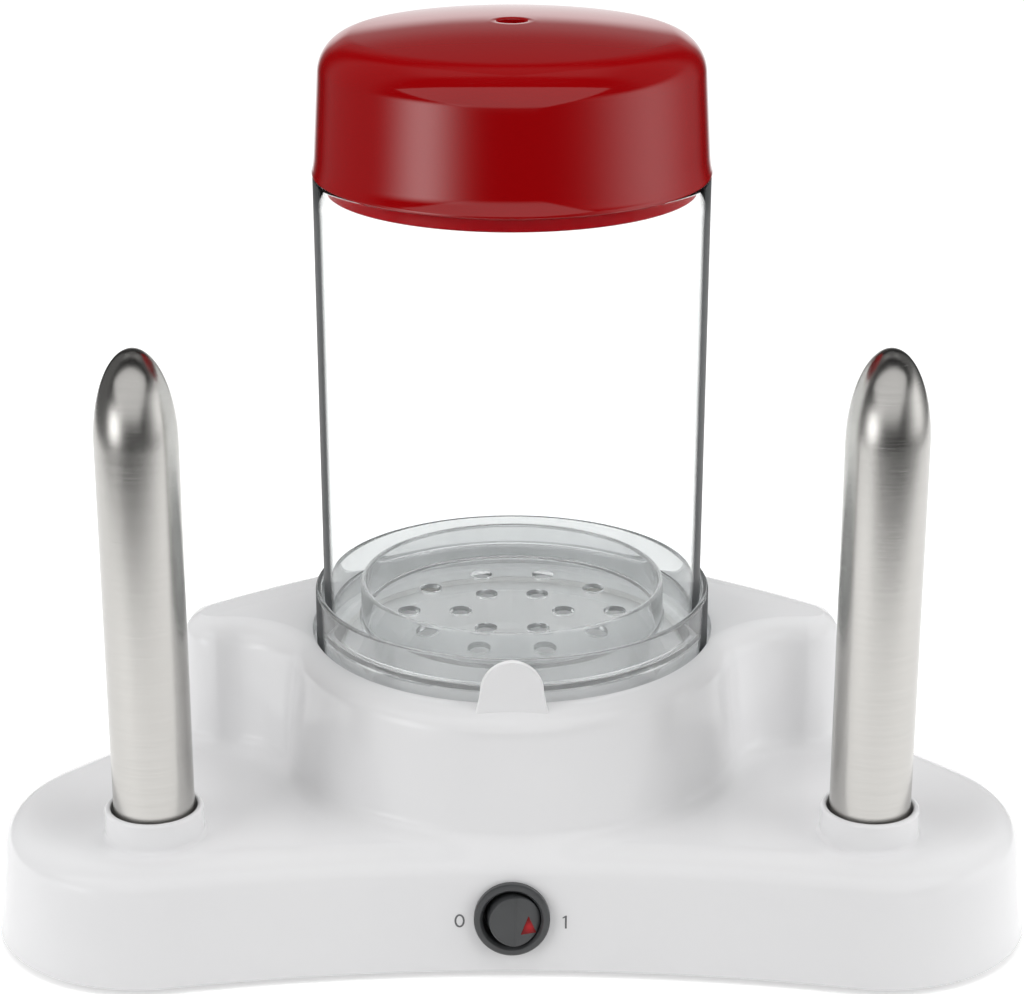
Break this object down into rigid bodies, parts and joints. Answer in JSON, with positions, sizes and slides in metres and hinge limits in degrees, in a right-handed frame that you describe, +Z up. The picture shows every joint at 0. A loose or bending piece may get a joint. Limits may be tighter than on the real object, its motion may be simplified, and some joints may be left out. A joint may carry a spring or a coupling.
{
  "type": "hot dog maker",
  "caption": "Hot dog maker: low white base with a rocker switch, two heated bread spikes, and a round tower with a water dish, clear tray, clear sausage jar and red lid.",
  "frame": {"origin": "under the middle of the whole object's box, on the surface that the feet stand on", "axes": "+Z up, -Y towards the front wall with the switch, +X to the user's right"},
  "size_m": [0.3206, 0.1766, 0.2755],
  "materials": {
    "white_plastic": "gloss",
    "red_plastic": "gloss",
    "clear_plastic": "clear, polished",
    "brushed_steel": "brushed",
    "dish_steel": "satin",
    "zinc_steel": "zinc plated",
    "brass": "bare",
    "dark_plastic": "satin",
    "red_lens": "translucent",
    "grey_rubber": "matt",
    "silicone": "matt",
    "brown_phenolic": "matt",
    "ceramic": "matt",
    "red_wire": "matt",
    "blue_wire": "matt",
    "green_wire": "matt"
  },
  "bodies": {
    "base": {"base_housing": "white_plastic", "bottom_cover": "white_plastic", "cord_gland": "dark_plastic", "heating_dish": "dish_steel", "dish_seal": "silicone", "heating_element": "dish_steel", "thermostat": "brown_phenolic", "thermostat_bracket": "zinc_steel", "thermal_fuse": "ceramic", "fuse_clip": "zinc_steel", "terminal_block": "ceramic", "switch_body": "dark_plastic", "rocker_pin": "brushed_steel", "left_switch_terminal": "brass", "right_switch_terminal": "brass", "live_lead": "red_wire", "switched_lead": "red_wire", "fuse_lead": "red_wire", "element_lead": "red_wire", "neutral_lead": "blue_wire", "earth_lead": "green_wire", "left_spike_lead": "red_wire", "right_spike_lead": "red_wire", "cover_screw_1": "zinc_steel", "cover_screw_2": "zinc_steel", "cover_screw_3": "zinc_steel", "cover_screw_4": "zinc_steel", "cover_screw_5": "zinc_steel", "cover_screw_6": "zinc_steel", "rubber_foot_1": "grey_rubber", "spike_screw_1": "zinc_steel", "rubber_foot_2": "grey_rubber", "spike_screw_2": "zinc_steel", "rubber_foot_3": "grey_rubber", "spike_screw_3": "zinc_steel", "rubber_foot_4": "grey_rubber", "spike_screw_4": "zinc_steel", "dish_screw_1": "zinc_steel", "dish_screw_2": "zinc_steel", "dish_screw_3": "zinc_steel", "bracket_nut_1": "zinc_steel", "bracket_nut_2": "zinc_steel", "left_spike_tube": "brushed_steel", "left_spike_bush": "brown_phenolic", "left_spike_plate": "zinc_steel", "left_spike_heater": "ceramic", "right_spike_tube": "brushed_steel", "right_spike_bush": "brown_phenolic", "right_spike_plate": "zinc_steel", "right_spike_heater": "ceramic"},
    "tray": {"sausage_tray": "clear_plastic"},
    "jar": {"jar": "clear_plastic"},
    "lid": {"lid": "red_plastic"},
    "rocker": {"switch_rocker": "dark_plastic", "rocker_lens": "red_lens"}
  },
  "joints": [
    {"name": "tray_lift", "type": "slide", "parent": "base", "child": "tray", "axis": [0, 0, 1], "range_m": [0, 0.2]},
    {"name": "jar_lift", "type": "slide", "parent": "tray", "child": "jar", "axis": [0, 0, 1], "range_m": [0, 0.2]},
    {"name": "lid_lift", "type": "slide", "parent": "jar", "child": "lid", "axis": [0, 0, 1], "range_m": [0, 0.12]},
    {"name": "rocker_tilt", "type": "hinge", "parent": "base", "child": "rocker", "pos_m": [0, -0.07265, 0.02079], "axis": [0, -0.1045, -0.9945], "range_deg": [0, 22]}
  ]
}
